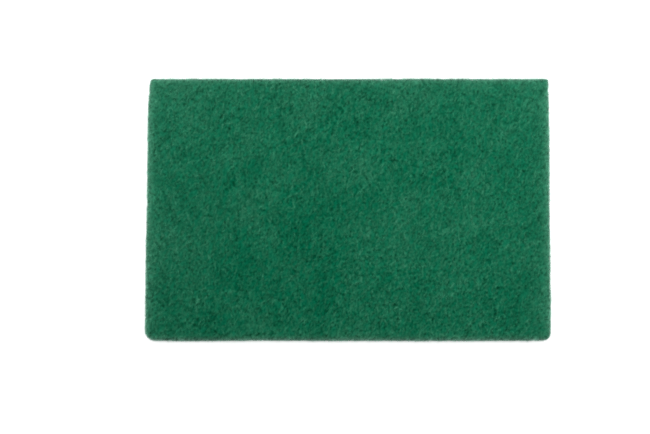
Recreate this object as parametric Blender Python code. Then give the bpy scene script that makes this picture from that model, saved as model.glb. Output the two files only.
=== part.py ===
"""Abrasive hand pad: one slab of springy non-woven fibre web, cut from a wide roll.

Metres, +Z up. The origin is the middle of the underside, in the plane of the surface that the pad
lies on. +X runs along the pad's length and +Y towards its back edge.
"""

import math

import bmesh
import bpy
from mathutils import Vector, noise

# The slab
LENGTH = 0.230
WIDTH = 0.150
THICKNESS = 0.008

# The cut: the two ends lean off square together, and each corner has its own radius
CUT_LEAN = 0.0042
FRONT_LEFT_RADIUS = 0.0050
FRONT_RIGHT_RADIUS = 0.0030
BACK_RIGHT_RADIUS = 0.0012
BACK_LEFT_RADIUS = 0.0012
LEAST_RADIUS = 0.0004
CORNER_STEPS = 6

# Near its corners the web has pulled in a little after the cut, more at one corner than another
PULL_REACH = 0.020
FRONT_LEFT_PULL = 0.0003
FRONT_RIGHT_PULL = 0.0004
BACK_RIGHT_PULL = 0.0002
BACK_LEFT_PULL = 0.0012
FRONT_SIDE_PULL = 0.0004

# The blade wanders a little along each side
WANDER_HEIGHT = 0.00016
WANDER_LENGTH = 0.045
SIDE_STEP = 0.005

# The section of the rim: a soft shoulder above, a small one where the web meets the table
SHOULDER_IN = 0.0034
SHOULDER_DROP = 0.0020
FOOT_IN = 0.0012
FOOT_RISE = 0.0010
WALL_BULGE = 0.0003
SHOULDER_STEPS = 5
FOOT_STEPS = 2
MOST_DROP_SHARE = 0.4

# The loft of the web: low swells all over its upper face, with smaller tufts on them
SWELL_DEPTH = 0.0005
SWELL_LENGTH = 0.024
TUFT_DEPTH = 0.0004
TUFT_LENGTH = 0.009
TUFT_PITCH = 0.0035
WELD_SHARE = 0.02

WEB_COLOUR = (0.0105, 0.127, 0.064, 1.0)
WEB_ROUGHNESS = 0.9


def clear_scene():
    for old in list(bpy.data.objects):
        bpy.data.objects.remove(old)


def web_material():
    """Green resin-bonded fibre."""
    material = bpy.data.materials.new("fibre_web")
    material.use_nodes = True
    shader = material.node_tree.nodes["Principled BSDF"]
    shader.inputs["Base Color"].default_value = WEB_COLOUR
    shader.inputs["Roughness"].default_value = WEB_ROUGHNESS
    shader.inputs["Metallic"].default_value = 0.0
    return material


def corner_places():
    """Each corner of the uncut slab as (x, y, radius, angle where its arc starts), anticlockwise."""
    half_length = LENGTH / 2
    half_width = WIDTH / 2
    lean = half_width * math.tan(CUT_LEAN)
    return [
        (-half_length - lean, -half_width, FRONT_LEFT_RADIUS, math.pi),
        (half_length - lean, -half_width, FRONT_RIGHT_RADIUS, 1.5 * math.pi),
        (half_length + lean, half_width, BACK_RIGHT_RADIUS, 0.0),
        (-half_length + lean, half_width, BACK_LEFT_RADIUS, 0.5 * math.pi),
    ]


def corner_arc(corner, inset):
    """The points of one corner's arc, with the whole cut moved inwards by inset."""
    x, y, radius, start = corner
    inward_x = -math.copysign(1.0, x)
    inward_y = -math.copysign(1.0, y)
    inner_radius = max(radius - inset, LEAST_RADIUS)
    centre_x = x + inward_x * (inset + inner_radius)
    centre_y = y + inward_y * (inset + inner_radius)
    points = []
    for step in range(CORNER_STEPS + 1):
        angle = start + 0.5 * math.pi * step / CORNER_STEPS
        points.append(
            (
                centre_x + inner_radius * math.cos(angle),
                centre_y + inner_radius * math.sin(angle),
            )
        )
    return points


def wander(side, along, length):
    """How far the blade strays from a straight side, fading to nothing at the corners."""
    fade = math.sin(math.pi * along / length) ** 0.5
    return WANDER_HEIGHT * fade * 2 * noise.noise(Vector((along / WANDER_LENGTH, side, 0.0)))


def side_points(side, start, end, steps):
    """The points between two corners, each moved across the side by the blade's wander."""
    run = Vector(end) - Vector(start)
    outward = Vector((run.y, -run.x)).normalized()
    points = []
    for step in range(1, steps):
        share = step / steps
        place = Vector(start) + run * share
        place += outward * wander(side, share * run.length, run.length)
        points.append((place.x, place.y))
    return points


def cut_line(inset):
    """The closed outline of the cut, moved inwards by inset, always with as many points."""
    corners = corner_places()
    arcs = [corner_arc(corner, inset) for corner in corners]
    outline = []
    for side, arc in enumerate(arcs):
        following = arcs[(side + 1) % len(arcs)]
        here = Vector(corners[side][:2])
        there = Vector(corners[(side + 1) % len(corners)][:2])
        steps = max(2, round((there - here).length / SIDE_STEP))
        outline += arc
        outline += side_points(side, arc[-1], following[0], steps)
    return outline


def rim_section():
    """(inset, height) up the rim, from the edge of the underside to the edge of the upper face."""
    foot_rise = min(FOOT_RISE, MOST_DROP_SHARE * THICKNESS)
    shoulder_drop = min(SHOULDER_DROP, MOST_DROP_SHARE * THICKNESS)
    section = []
    for step in range(FOOT_STEPS + 1):
        angle = 0.5 * math.pi * step / FOOT_STEPS
        section.append((FOOT_IN * (1 - math.sin(angle)), foot_rise * (1 - math.cos(angle))))
    middle = (foot_rise + THICKNESS - shoulder_drop) / 2
    section.append((-WALL_BULGE, middle))
    for step in range(SHOULDER_STEPS + 1):
        angle = 0.5 * math.pi * step / SHOULDER_STEPS
        inset = SHOULDER_IN * (1 - math.cos(angle))
        section.append((inset, THICKNESS - shoulder_drop * (1 - math.sin(angle))))
    return section


def loft_rim(mesh):
    """Closes the underside, raises the rim ring by ring and closes the top. Returns the top face."""
    lower = None
    for inset, height in rim_section():
        ring = [mesh.verts.new((x, y, height)) for x, y in cut_line(inset)]
        count = len(ring)
        if lower is None:
            mesh.faces.new(list(reversed(ring)))
        else:
            for i in range(count):
                j = (i + 1) % count
                mesh.faces.new((lower[i], lower[j], ring[j], ring[i]))
        lower = ring
    return mesh.faces.new(lower)


def cut_lines_across(length):
    """Evenly spaced places across a length, clear of its two ends, a tuft pitch apart."""
    cells = max(2, round(length / TUFT_PITCH))
    return [length * (step / cells - 0.5) for step in range(1, cells)]


def divide_face(mesh, face):
    """Cuts the upper face into a grid of cells, so that it can take the swells and tufts."""
    flat = [Vector((1.0, 0.0, 0.0)), Vector((0.0, 1.0, 0.0))]
    low = Vector([min(v.co[axis] for v in face.verts) for axis in range(3)])
    high = Vector([max(v.co[axis] for v in face.verts) for axis in range(3)])
    cells = [face]
    for axis, across in enumerate(flat):
        middle = (low[axis] + high[axis]) / 2
        for place in cut_lines_across(high[axis] - low[axis]):
            parts = set(cells)
            for cell in cells:
                parts.update(cell.edges)
                parts.update(cell.verts)
            made = bmesh.ops.bisect_plane(
                mesh,
                geom=list(parts),
                dist=TUFT_PITCH * WELD_SHARE,
                plane_co=across * (middle + place),
                plane_no=across,
            )
            cells = [part for part in made["geom"] if isinstance(part, bmesh.types.BMFace)]


def hollow(x, y, depth, length):
    """How deep the web lies at a point under its highest tufts, from 0 to depth."""
    return depth * (1 - noise.noise(Vector((x / length, y / length, 0.5)))) / 2


def sink_hollows(mesh):
    """Lowers each point by the web's loft: all of it at the top, none at the underside."""
    for vertex in mesh.verts:
        x, y, z = vertex.co
        sunk = hollow(x, y, SWELL_DEPTH, SWELL_LENGTH) + hollow(x, y, TUFT_DEPTH, TUFT_LENGTH)
        vertex.co.z -= sunk * (z / THICKNESS) ** 2


def pull_in_corners(mesh):
    """Draws each corner in: the ends by the corner's own pull and the front side by one pull.

    The pull fades with the square of the way left to its reach, along the sides and inwards.
    """
    pulls = [
        (FRONT_LEFT_PULL, FRONT_SIDE_PULL),
        (FRONT_RIGHT_PULL, FRONT_SIDE_PULL),
        (BACK_RIGHT_PULL, 0.0),
        (BACK_LEFT_PULL, 0.0),
    ]
    for corner, (end_pull, side_pull) in zip(corner_places(), pulls):
        x, y = corner[:2]
        for vertex in mesh.verts:
            beside = max(0.0, 1 - abs(vertex.co.x - x) / PULL_REACH)
            before = max(0.0, 1 - abs(vertex.co.y - y) / PULL_REACH)
            share = (beside * before) ** 2
            vertex.co.x -= math.copysign(end_pull * share, x)
            vertex.co.y -= math.copysign(side_pull * share, y)


def centre_on_origin(mesh):
    """Moves the slab so that its box is centred over the origin."""
    for axis in range(2):
        low = min(vertex.co[axis] for vertex in mesh.verts)
        high = max(vertex.co[axis] for vertex in mesh.verts)
        for vertex in mesh.verts:
            vertex.co[axis] -= (low + high) / 2


def build_pad():
    """The one piece: the cut slab of web."""
    mesh = bmesh.new()
    top = loft_rim(mesh)
    divide_face(mesh, top)
    sink_hollows(mesh)
    pull_in_corners(mesh)
    centre_on_origin(mesh)
    bmesh.ops.recalc_face_normals(mesh, faces=mesh.faces)
    data = bpy.data.meshes.new("abrasive_pad")
    mesh.to_mesh(data)
    mesh.free()
    data.shade_smooth()
    pad = bpy.data.objects.new("abrasive_pad", data)
    bpy.context.scene.collection.objects.link(pad)
    data.materials.append(web_material())
    return pad


def main():
    clear_scene()
    build_pad()


main()
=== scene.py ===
"""Looks of the abrasive hand pad: a springy web of crimped fibres, bonded with resin and grit.

Metres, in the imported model's own frame: +X along the pad, +Y towards its back edge and +Z up, with
the underside at zero. The web is one closed body with the fibres of its outer layers laid over it.
"""

import logging
import math
from dataclasses import dataclass, field
from enum import Enum
from functools import cached_property
from typing import ClassVar

import bpy
import numpy as np
from mathutils import Euler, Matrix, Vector
from mathutils.bvhtree import BVHTree


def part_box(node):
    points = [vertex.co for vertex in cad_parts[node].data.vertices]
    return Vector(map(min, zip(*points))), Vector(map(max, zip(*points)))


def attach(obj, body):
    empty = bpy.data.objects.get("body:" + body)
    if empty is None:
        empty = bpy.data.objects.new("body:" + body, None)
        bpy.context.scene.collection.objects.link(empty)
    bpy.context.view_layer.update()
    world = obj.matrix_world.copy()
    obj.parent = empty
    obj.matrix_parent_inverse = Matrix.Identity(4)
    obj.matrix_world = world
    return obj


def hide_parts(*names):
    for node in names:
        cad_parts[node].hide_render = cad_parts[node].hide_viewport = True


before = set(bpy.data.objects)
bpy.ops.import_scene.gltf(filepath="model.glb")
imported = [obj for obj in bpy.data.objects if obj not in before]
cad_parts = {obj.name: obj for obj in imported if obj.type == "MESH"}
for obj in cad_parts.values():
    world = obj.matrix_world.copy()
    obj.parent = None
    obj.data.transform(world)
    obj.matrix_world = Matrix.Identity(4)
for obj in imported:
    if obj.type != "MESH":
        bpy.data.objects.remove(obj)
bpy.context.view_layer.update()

PAD_NODE = "abrasive_pad"
PAD_BODY = "root"
BAKE_MAP = "OFBake"
SHADE_NAME = "strand_shade"
# Painted light: the rim's pale edge stands in for light coming through the web's thin cut edge.
RIM_LIGHT_NAME = "painted_rim_light"
# The fraying at the cut edge, with painted glare added to it.
FRAY_GLARE_NAME = "edge_fray_and_glare"

QUARTER_TURN = 0.5 * math.pi
FULL_TURN = 2 * math.pi
# The way that most fibres run, anticlockwise from +X.
MEAN_WAY = math.radians(62.0)
# The width in pixels of the filter that softens the render as the photograph is.
FILTER_WIDTH = 2.5
# A length too small to divide by.
NO_LENGTH = 1e-12
# Steps that leave no rows: 1/p and 1/p squared, where p cubed is p + 1.
SPREAD_STEPS = (0.7548776662466927, 0.5698402909980532)
# Large odd numbers, shifts and a count of bits that turn a cell and a seed into a random value.
CELL_FACTORS = (73856093, 19349663, 83492791)
SEED_FACTOR = 2654435761
MIX_STEPS = ((15, 2246822519), (13, 3266489917))
MIX_BITS = 24

Array = np.ndarray
Random = np.random.Generator
Traced = tuple[Array, Array, Array]
Triple = tuple[float, float, float]
Colour = Triple
Socket = bpy.types.NodeSocket
ORIGIN = (0.0, 0.0, 0.0)

log = logging.getLogger("hand_pad")


class Face(Enum):
    """The side of the pad that a layer of strands lies on."""

    UPPER = "upper"
    LOWER = "lower"


class Kind(Enum):
    """The kinds of socket that the shared node groups have."""

    VALUE = "NodeSocketFloat"
    COLOUR = "NodeSocketColor"
    PLACE = "NodeSocketVector"


@dataclass(frozen=True)
class Span:
    """The range that a size is drawn from, evenly."""

    low: float
    high: float

    def draw(self, rng: Random, shape: int | tuple[int, ...]) -> Array:
        """Draws an array of sizes of that shape."""
        return rng.uniform(self.low, self.high, shape)


def lattice_value(cell: Array, seed: int) -> Array:
    """Random values from -1 to 1 for lattice cells, always the same for the same cell and seed.

    The three whole numbers of a cell are multiplied by large odd numbers, mixed and scaled down.

    Args:
        cell: whole numbers, one row of three for each cell.
        seed: picks another set of values.

    Returns:
        One value for each row.
    """
    mixed = cell.astype(np.uint64) @ np.array(CELL_FACTORS, np.uint64)
    mixed ^= np.uint64(seed * SEED_FACTOR)
    for shift, factor in MIX_STEPS:
        mixed = (mixed ^ (mixed >> np.uint64(shift))) * np.uint64(factor)
    return (mixed >> np.uint64(64 - MIX_BITS)).astype(float) / 2 ** (MIX_BITS - 1) - 1


def smooth(share: Array) -> Array:
    """The blend 3t² - 2t³ of a share t from 0 to 1."""
    return share * share * (3 - 2 * share)


def lattice_noise(points: Array, length: float, seed: int) -> Array:
    """Smooth noise from -1 to 1: random values at a cubic lattice's corners, blended between them.

    The blend along each axis is smooth, by the share of the way through the cell.

    Args:
        points: places, one row of three for each.
        length: the side of a lattice cell.
        seed: picks another pattern.

    Returns:
        One value for each point.
    """
    scaled = points / length
    cell = np.floor(scaled).astype(np.int64)
    share = scaled - cell
    blend = smooth(share)
    total = np.zeros(len(points))
    for corner in range(8):
        step = np.array([corner & 1, corner >> 1 & 1, corner >> 2 & 1])
        weight = np.where(step, blend, 1 - blend).prod(axis=1)
        total += weight * lattice_value(cell + step, seed)
    return total


def unit(vectors: Array) -> Array:
    """Each vector divided by its own length."""
    return vectors / np.maximum(np.linalg.norm(vectors, axis=-1, keepdims=True), NO_LENGTH)


def spread_places(rng: Random, count: int) -> Array:
    """Places spread evenly over a unit square, without rows.

    Each place is the one before it moved on by a fixed share of the square's sides, wrapped round,
    and then shaken by about half the distance between neighbours.

    Args:
        rng: the random source.
        count: how many places.

    Returns:
        The places, two numbers each.
    """
    first = rng.uniform(0, 1, 2)
    shaken = rng.uniform(-0.5, 0.5, (count, 2)) / math.sqrt(count)
    return np.mod(first + np.arange(count)[:, None] * np.array(SPREAD_STEPS) + shaken, 1.0)


def read_vectors(items: bpy.types.bpy_prop_collection, name: str) -> Array:
    """Reads a vector of each item, such as each vertex's place, as rows of three."""
    values = np.zeros(len(items) * 3, np.float32)
    items.foreach_get(name, values)
    return values.reshape(-1, 3).astype(float)


def store_values(mesh: bpy.types.Mesh, name: str, values: Array) -> None:
    """Stores one value for each vertex under a name that the finishes read."""
    layer = mesh.attributes.new(name, "FLOAT", "POINT")
    layer.data.foreach_set("value", values.astype(np.float32).ravel())


def new_mesh(name: str, points: Array, faces: list[Array]) -> bpy.types.Mesh:
    """Makes a smooth-shaded mesh from whole arrays.

    Args:
        name: the mesh's name.
        points: its vertices, one row of three for each.
        faces: arrays of vertex numbers, one row for each face, one array for each face size.

    Returns:
        The mesh.
    """
    mesh = bpy.data.meshes.new(name)
    corners = np.concatenate([part.ravel() for part in faces]).astype(np.int32)
    sizes = np.concatenate([np.full(len(part), part.shape[1]) for part in faces])
    starts = np.concatenate([[0], np.cumsum(sizes)[:-1]]).astype(np.int32)
    mesh.vertices.add(len(points))
    mesh.vertices.foreach_set("co", points.astype(np.float32).ravel())
    mesh.loops.add(len(corners))
    mesh.loops.foreach_set("vertex_index", corners)
    mesh.polygons.add(len(sizes))
    mesh.polygons.foreach_set("loop_start", starts)
    mesh.update(calc_edges=True)
    mesh.shade_smooth()
    return mesh


def new_object(name: str, data: bpy.types.ID) -> bpy.types.Object:
    """Puts an object with that mesh, lamp or camera into the scene, at the origin."""
    made = bpy.data.objects.new(name, data)
    bpy.context.scene.collection.objects.link(made)
    return made


def facing(way: Vector) -> Euler:
    """The turn that points a lamp or a camera along a way, with its top towards +Y."""
    return way.to_track_quat("-Z", "Y").to_euler()


def new_piece(name: str, mesh: bpy.types.Mesh, material: bpy.types.Material) -> bpy.types.Object:
    """Puts a mesh into the scene as a piece of the pad, at the origin.

    Args:
        name: the piece's name.
        mesh: its finished mesh, in the frame's coordinates.
        material: its finish.

    Returns:
        The piece, riding on the pad's body.
    """
    mesh.materials.append(material)
    piece = new_object(name, mesh)
    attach(piece, PAD_BODY)
    triangles = sum(len(face.vertices) - 2 for face in mesh.polygons)
    log.info("%s: %d triangles", name, triangles)
    return piece


def opaque(colour: Colour) -> tuple[float, float, float, float]:
    """The colour with a full alpha, as colour sockets take it."""
    return (*colour, 1.0)


class NodeBuilder:
    """Adds nodes to a tree, each with its inputs linked or set."""

    def __init__(self, tree: bpy.types.NodeTree) -> None:
        """Takes the tree to add to."""
        self.tree = tree

    def set(self, socket: Socket, value: object) -> None:
        """Links an input to a socket, or sets it to a value."""
        if isinstance(value, bpy.types.NodeSocket):
            self.tree.links.new(value, socket)
        else:
            socket.default_value = value

    def node(self, kind: str, inputs: dict | None = None, **choices: object) -> bpy.types.Node:
        """Adds a node.

        Args:
            kind: its type, without the first part that all types share.
            inputs: sockets to link or values to set, by the input's name or number.
            choices: the node's own options, such as its operation.

        Returns:
            The node.
        """
        node = self.tree.nodes.new(f"ShaderNode{kind}")
        for choice, value in choices.items():
            setattr(node, choice, value)
        for label, value in (inputs or {}).items():
            self.set(node.inputs[label], value)
        return node

    def math(self, operation: str, *values: object) -> Socket:
        """One step of arithmetic on values."""
        return self.node("Math", dict(enumerate(values)), operation=operation).outputs[0]

    def mix(self, share: object, low: object, high: object, blend: str = "MIX") -> Socket:
        """A colour between two, by a share from 0 to 1, or another blend of them."""
        inputs = {"Factor": share, "A": low, "B": high}
        return self.node("Mix", inputs, data_type="RGBA", blend_type=blend).outputs["Result"]

    def ramp(self, value: Socket, low: object, high: object) -> Socket:
        """A value from 0 to 1 spread between two others."""
        inputs = {"Value": value, "To Min": low, "To Max": high}
        return self.node("MapRange", inputs).outputs["Result"]

    def turned(self, place: Socket, turn: float, offset: Triple = ORIGIN) -> Socket:
        """A place that is turned about Z and moved."""
        inputs = {"Vector": place, "Location": offset, "Rotation": (0.0, 0.0, turn)}
        return self.node("Mapping", inputs).outputs["Vector"]

    def stretched(self, place: Socket, scale: Triple, offset: Triple = ORIGIN) -> Socket:
        """A place that is scaled along each axis and moved."""
        inputs = {"Vector": place, "Location": offset, "Scale": scale}
        return self.node("Mapping", inputs).outputs["Vector"]

    def noise(self, place: Socket, length: float, detail: float = 2.0) -> bpy.types.Node:
        """Noise with features of about that length."""
        return self.node("TexNoise", {"Vector": place, "Scale": 1.0 / length, "Detail": detail})

    def warped(self, place: Socket, length: float, amount: float) -> Socket:
        """A place that is pushed about by noise, by up to half the amount each way."""
        inputs = {0: self.noise(place, length).outputs["Color"], 1: (amount,) * 3, 2: place}
        return self.node("VectorMath", inputs, operation="MULTIPLY_ADD").outputs["Vector"]


class GroupBuilder(NodeBuilder):
    """Puts one shared node group together."""

    def __init__(self, name: str, inputs: dict[str, Kind], outputs: dict[str, Kind]) -> None:
        """Starts a group with its sockets.

        Args:
            name: the group's name.
            inputs: the kinds of its input sockets, by name.
            outputs: the kinds of its output sockets, by name.
        """
        super().__init__(bpy.data.node_groups.new(name, "ShaderNodeTree"))
        for sockets, way in ((inputs, "INPUT"), (outputs, "OUTPUT")):
            for label, kind in sockets.items():
                self.tree.interface.new_socket(label, in_out=way, socket_type=kind.value)
        self.inputs = self.tree.nodes.new("NodeGroupInput").outputs
        self.outputs = self.tree.nodes.new("NodeGroupOutput").inputs


class SharedGroup:
    """A node group that more than one finish may use, with its sizes as fields."""

    name: ClassVar[str]
    inputs: ClassVar[dict[str, Kind]]
    outputs: ClassVar[dict[str, Kind]]

    def tree(self) -> bpy.types.NodeTree:
        """The group, which is built the first time that it is asked for."""
        if self.name not in bpy.data.node_groups:
            self.fill(GroupBuilder(self.name, self.inputs, self.outputs))
        return bpy.data.node_groups[self.name]

    def fill(self, made: GroupBuilder) -> None:
        """Makes the nodes between the group's inputs and its outputs."""
        raise NotImplementedError


@dataclass(frozen=True)
class FibreStreaks(SharedGroup):
    """Fine curved streaks in three ways, as of fibres that lie deeper in the web.

    Each way is noise on a place that is warped, turned and then stretched along the streaks, and
    the height is the highest of the three ridges 1 - |2n - 1|, cubed.
    """

    name: ClassVar[str] = "fibre_streaks"
    inputs: ClassVar[dict[str, Kind]] = {"Vector": Kind.PLACE}
    outputs: ClassVar[dict[str, Kind]] = {"Height": Kind.VALUE}
    turns: tuple[float, ...] = (0.45, 0.8, 0.1)
    streak: Triple = (0.00045, 0.0035, 0.0006)
    warp_length: float = 0.005
    warp: float = 0.003
    height_step: float = 0.1
    side_step: float = 0.3
    detail: float = 1.0
    sharpness: float = 3.0

    def fill(self, made: GroupBuilder) -> None:
        """Makes the three ways and keeps the highest of them.

        Args:
            made: the group's builder.
        """
        warped = made.warped(made.inputs["Vector"], self.warp_length, self.warp)
        scale = tuple(1 / size for size in self.streak)
        highest = None
        for way, turn in enumerate(self.turns):
            spun = made.turned(warped, turn, (0.0, 0.0, self.height_step * way))
            drawn = made.stretched(spun, scale, (self.side_step * way, 0.0, 0.0))
            value = made.noise(drawn, 1.0, self.detail).outputs["Fac"]
            centred = made.math("ABSOLUTE", made.math("MULTIPLY_ADD", value, 2.0, -1.0))
            ridge = made.math("POWER", made.math("SUBTRACT", 1.0, centred), self.sharpness)
            highest = ridge if highest is None else made.math("MAXIMUM", highest, ridge)
        made.set(made.outputs["Height"], highest)


@dataclass(frozen=True)
class WebTone(SharedGroup):
    """The web's uneven brightness, with a tone around 1, and the painted shade of small pores, from
    0 to 1.

    The tone is 1 plus shares of a broad noise's and a fine one's departures from their middles.
    The pore shade is painted shade that stands in for the shade in the gaps between fibres: it is
    the fine noise as far as it lies under its middle, times its depth. It is drawn out a little
    along the way that most fibres run.
    """

    name: ClassVar[str] = "web_tone"
    inputs: ClassVar[dict[str, Kind]] = {"Vector": Kind.PLACE}
    outputs: ClassVar[dict[str, Kind]] = {"Tone": Kind.VALUE, "Pore Shade": Kind.VALUE}
    broad_length: float = 0.022
    broad_detail: float = 1.0
    broad_share: float = 0.39
    fine_length: float = 0.00087
    fine_detail: float = 0.0
    fine_share: float = 0.5
    draw_out: float = 1.5
    pore_shade_depth: float = 2.7

    def fill(self, made: GroupBuilder) -> None:
        """Makes the two noises and what comes from them.

        Args:
            made: the group's builder.
        """
        place = made.inputs["Vector"]
        broad = made.noise(place, self.broad_length, self.broad_detail).outputs["Fac"]
        drawn = made.stretched(made.turned(place, -MEAN_WAY), (1 / self.draw_out, 1.0, 1.0))
        fine = made.noise(drawn, self.fine_length, self.fine_detail).outputs["Fac"]
        sunk = made.math("MULTIPLY", made.math("SUBTRACT", 0.5, fine), self.pore_shade_depth)
        base = 1 - (self.broad_share + self.fine_share) / 2
        tufts = made.math("MULTIPLY_ADD", fine, self.fine_share, base)
        made.set(made.outputs["Tone"], made.math("MULTIPLY_ADD", broad, self.broad_share, tufts))
        pore = made.math("MINIMUM", made.math("MAXIMUM", sunk, 0.0), 1.0)
        made.set(made.outputs["Pore Shade"], pore)


@dataclass(frozen=True)
class ResinGrit(SharedGroup):
    """Grains of grit in the resin coat: noise at about a tenth of a millimetre."""

    name: ClassVar[str] = "resin_grit"
    inputs: ClassVar[dict[str, Kind]] = {"Vector": Kind.PLACE}
    outputs: ClassVar[dict[str, Kind]] = {"Grit": Kind.VALUE}
    grain: float = 0.00012

    def fill(self, made: GroupBuilder) -> None:
        """Makes the noise."""
        grains = made.noise(made.inputs["Vector"], self.grain).outputs["Fac"]
        made.set(made.outputs["Grit"], grains)


@dataclass(frozen=True)
class Tinted(SharedGroup):
    """A colour with painted shade in the pores, lighter or darker by a tone, and painted light at
    the cut edge.

    The colour is mixed with the shade colour by the painted pore shade's value, which is less where
    the web is frayed. Its brightness is multiplied by the tone, and its saturation falls a little as
    the tone rises. Then the painted rim light's colour times the rim's value is added to it, and the
    grey of frayed ends and painted glare times the fray's, both times the share taken and 1 minus
    the pore shade's value.
    """

    name: ClassVar[str] = "tinted"
    inputs: ClassVar[dict[str, Kind]] = {
        "Color": Kind.COLOUR,
        "Tone": Kind.VALUE,
        "Pore Shade": Kind.VALUE,
        "Shade Colour": Kind.COLOUR,
        "Rim": Kind.VALUE,
        "Rim Light": Kind.COLOUR,
        "Fray": Kind.VALUE,
        "Fray Glare Colour": Kind.COLOUR,
        "Taken": Kind.VALUE,
    }
    outputs: ClassVar[dict[str, Kind]] = {"Color": Kind.COLOUR}
    # Where the edge is frayed, less of the painted pore shade is kept.
    pores_filled: float = 0.6
    saturation_fall: float = 0.4

    def fill(self, made: GroupBuilder) -> None:
        """Makes the mixes in their order.

        Args:
            made: the group's builder.
        """
        given = made.inputs
        frayed = made.math("MINIMUM", given["Fray"], 1.0)
        kept = made.math("MULTIPLY_ADD", frayed, -self.pores_filled, 1.0)
        pore = made.math("MULTIPLY", given["Pore Shade"], kept)
        fall = self.saturation_fall
        inputs = {
            "Color": made.mix(pore, given["Color"], given["Shade Colour"]),
            "Value": given["Tone"],
            "Saturation": made.math("MULTIPLY_ADD", given["Tone"], -fall, 1 + fall),
        }
        toned = made.node("HueSaturation", inputs).outputs["Color"]
        taken = made.math("MULTIPLY", made.math("SUBTRACT", 1.0, pore), given["Taken"])
        for amount, colour in (("Rim", "Rim Light"), ("Fray", "Fray Glare Colour")):
            added = made.math("MULTIPLY", given[amount], taken)
            toned = made.mix(added, toned, given[colour], "ADD")
        made.set(made.outputs["Color"], toned)


class FinishBuilder(NodeBuilder):
    """Puts one material together around its Principled BSDF."""

    def __init__(self, name: str) -> None:
        """Starts a material of that name."""
        self.finished = bpy.data.materials.new(name)
        self.finished.use_nodes = True
        super().__init__(self.finished.node_tree)
        self.shader = self.tree.nodes["Principled BSDF"]

    def feed(self, values: dict[str, object]) -> None:
        """Links or sets inputs of the shader by name."""
        for label, value in values.items():
            self.set(self.shader.inputs[label], value)

    @cached_property
    def place(self) -> Socket:
        """The surface's place in the piece's own coordinates."""
        return self.node("TexCoord").outputs["Object"]

    def attribute(self, name: str) -> Socket:
        """The value that the mesh stores under a name."""
        return self.node("Attribute", attribute_name=name).outputs["Fac"]

    def group(self, shared: SharedGroup, inputs: dict[str, object]) -> dict[str, Socket]:
        """Places a shared group and gives its outputs by name."""
        placed = self.node("Group", inputs, node_tree=shared.tree())
        return {socket.name: socket for socket in placed.outputs}

    def bump(self, height: Socket, strength: float, distance: float) -> None:
        """Tilts the surface's normal by the slope of a height."""
        inputs = {"Strength": strength, "Distance": distance, "Height": height}
        self.feed({"Normal": self.node("Bump", inputs).outputs["Normal"]})


@dataclass(frozen=True)
class Finish:
    """The finish of a part of the web: its colours from dull to light, and what alters them."""

    name: str
    dull: Colour
    light: Colour
    # The colour of the painted rim light, added at the cut edge.
    pale: Colour
    # The grey of frayed ends and of painted glare at the cut edge.
    frayed: Colour
    roughness: Span
    bump: float
    bump_depth: float
    # The colour of the painted shade in the pores, the shaded gaps between fibres.
    pore: Colour = (0.0, 0.042, 0.014)
    gloss: float = 0.006

    def dressed(
        self, made: FinishBuilder, shade: Socket, height: Socket, taken: Socket | float
    ) -> bpy.types.Material:
        """Colours the surface, paints shade into its pores, paints light on its rim and gives it its
        roughness.

        Args:
            made: the material so far.
            shade: the share of the light colour in the fibre's own.
            height: the surface's fine height, from 0 to 1.
            taken: the share of the painted rim light and painted glare that the fibre takes.

        Returns:
            The finished material.
        """
        tone = made.group(WebTone(), {"Vector": made.place})
        inputs = {
            "Color": made.mix(shade, opaque(self.dull), opaque(self.light)),
            "Tone": tone["Tone"],
            "Pore Shade": tone["Pore Shade"],
            "Shade Colour": opaque(self.pore),
            "Rim": made.attribute(RIM_LIGHT_NAME),
            "Rim Light": opaque(self.pale),
            "Fray": made.attribute(FRAY_GLARE_NAME),
            "Fray Glare Colour": opaque(self.frayed),
            "Taken": taken,
        }
        made.feed({
            "Base Color": made.group(Tinted(), inputs)["Color"],
            "Roughness": made.ramp(height, self.roughness.low, self.roughness.high),
            "Specular IOR Level": self.gloss,
        })
        made.bump(height, self.bump, self.bump_depth)
        return made.finished


@dataclass(frozen=True)
class WebFinish(Finish):
    """The finish of the web under its outer strands: darker, as painted shade of the web's depths,
    with streaks of deeper fibres.
    """

    # Darker than the strands: painted shade where the web lies under them.
    dull: Colour = (0.0, 0.050, 0.019)
    light: Colour = (0.0024, 0.180, 0.088)
    # The painted rim light's colour.
    pale: Colour = (0.160, 0.415, 0.285)
    # The grey of frayed ends and painted glare.
    frayed: Colour = (0.245, 0.235, 0.275)
    roughness: Span = Span(0.62, 0.85)
    bump: float = 0.5
    bump_depth: float = 0.0004
    # How much of the painted rim light the web takes: more on the ridges of its streaks.
    taken: Span = Span(-0.8, 1.3)

    def material(self) -> bpy.types.Material:
        """Builds the material, which is lighter on its streaks, with painted shade between them, and
        takes more of the painted rim light on them.
        """
        made = FinishBuilder(self.name)
        height = made.group(FibreStreaks(), {"Vector": made.place})["Height"]
        taken = made.ramp(height, self.taken.low, self.taken.high)
        return self.dressed(made, height, height, taken)


@dataclass(frozen=True)
class StrandFinish(Finish):
    """The finish of single strands: green fibre in a rough coat of resin and grit."""

    dull: Colour = (0.0, 0.157, 0.060)
    light: Colour = (0.0445, 0.390, 0.218)
    # The painted rim light's colour.
    pale: Colour = (0.225, 0.590, 0.410)
    # The grey of frayed ends and painted glare.
    frayed: Colour = (0.300, 0.275, 0.330)
    roughness: Span = Span(0.45, 0.75)
    bump: float = 0.25
    bump_depth: float = 0.00008

    def material(self) -> bpy.types.Material:
        """Builds the material, which is as light as each strand's own shade says."""
        made = FinishBuilder(self.name)
        grit = made.group(ResinGrit(), {"Vector": made.place})["Grit"]
        return self.dressed(made, made.attribute(SHADE_NAME), grit, 1.0)


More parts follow.
